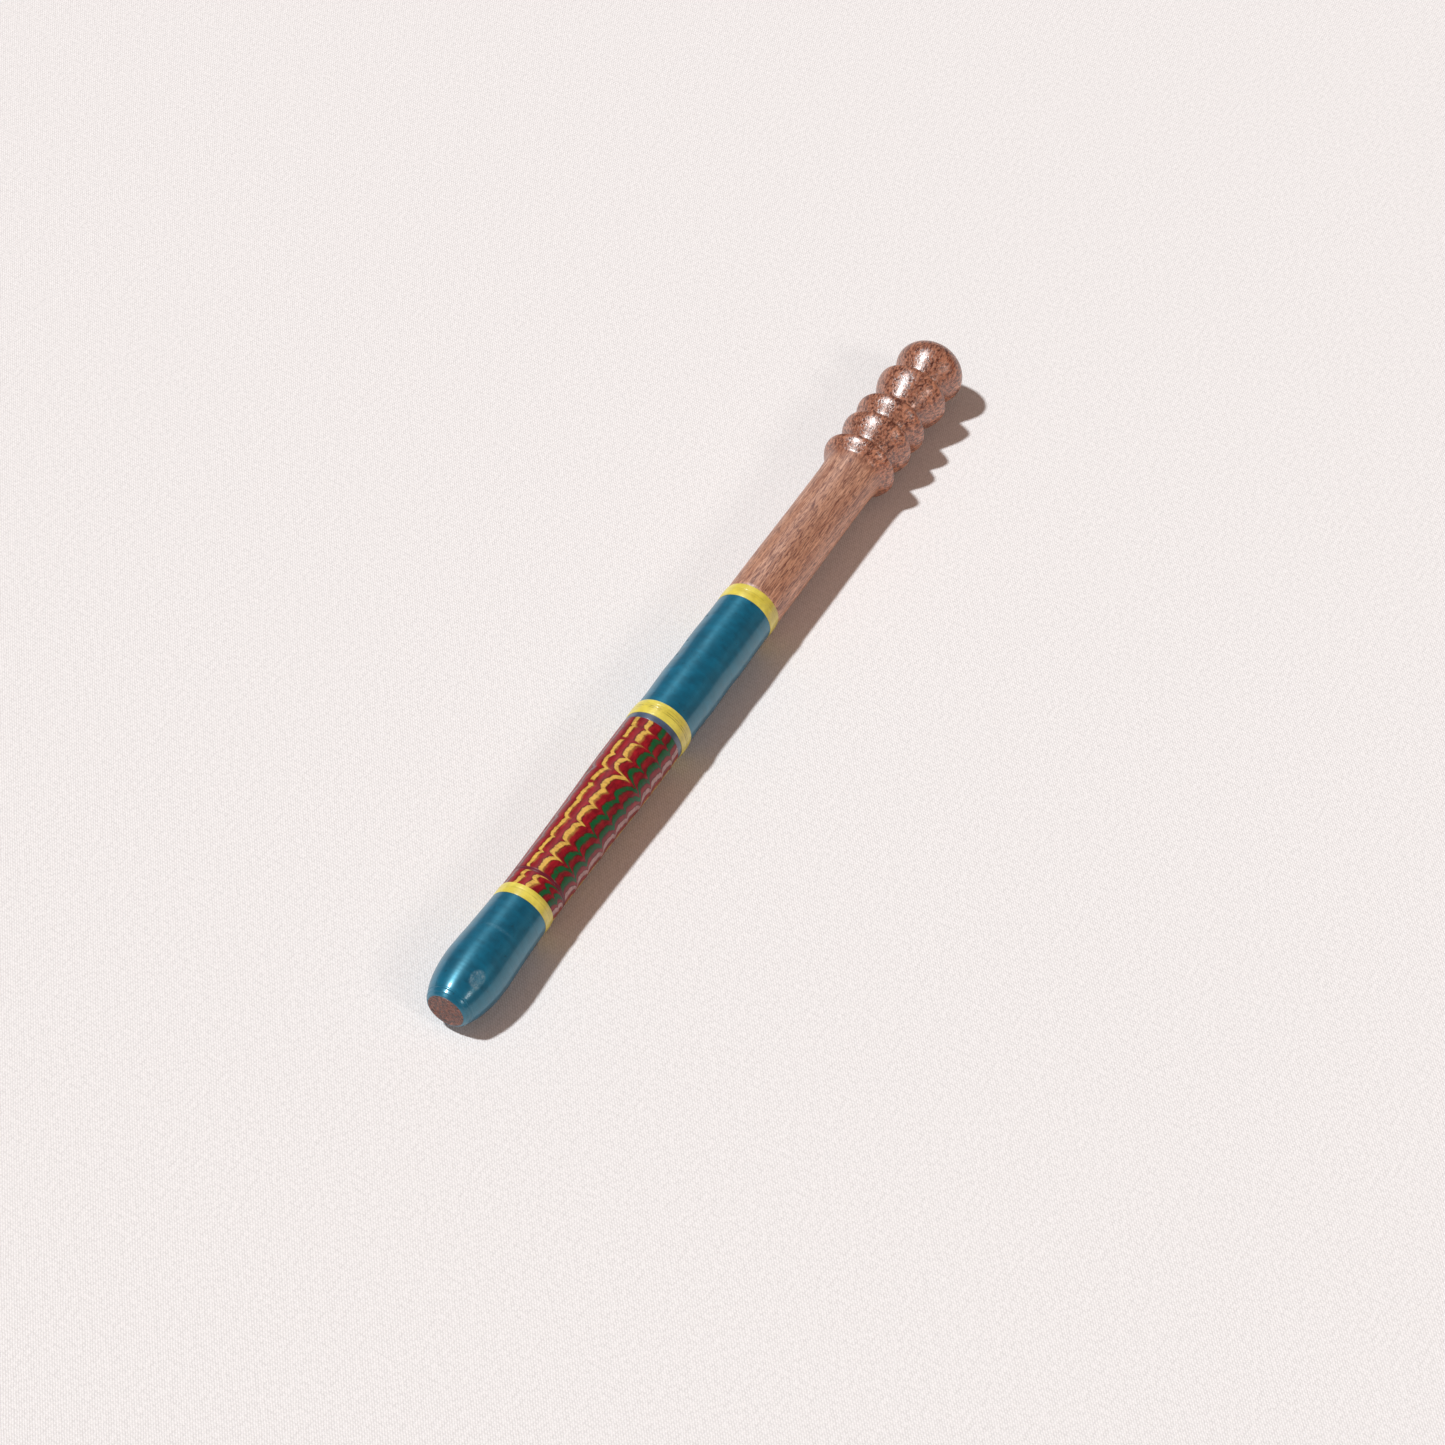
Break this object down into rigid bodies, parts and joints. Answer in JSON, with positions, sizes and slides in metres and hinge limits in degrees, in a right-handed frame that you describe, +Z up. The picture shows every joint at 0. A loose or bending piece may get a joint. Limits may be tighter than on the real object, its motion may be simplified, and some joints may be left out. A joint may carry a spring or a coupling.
{
  "type": "guiro stick",
  "caption": "Hand-held turned wooden scraping stick with a ridged, domed end of beads, a plain shaft and lac-coated grip bands in teal, yellow, slate and marbled red.",
  "frame": {"origin": "centre of the bounding box's underside: the stick lies on its first bead, with its axis level", "axes": "+X along the stick from the sawn end to the domed end, +Y across it, +Z up"},
  "size_m": [0.3, 0.0244, 0.0245],
  "materials": {
    "wood": "turned hardwood, matt on the shaft and polished on the beads, with short dark pores along the grain",
    "teal_lac": "glossy teal lac with fine turning lines round the stick",
    "yellow_lac": "glossy lemon-yellow lac with scribed rings",
    "marbled_lac": "glossy red lac combed with yellow and green streaks",
    "slate_lac": "glossy slate-blue lac"
  },
  "bodies": {
    "root": {"turned_stick": "wood", "teal_end_band": "teal_lac", "lower_yellow_ring": "yellow_lac", "marbled_band": "marbled_lac", "slate_ring": "slate_lac", "middle_yellow_ring": "yellow_lac", "long_teal_band": "teal_lac", "upper_yellow_ring": "yellow_lac"}
  },
  "joints": []
}
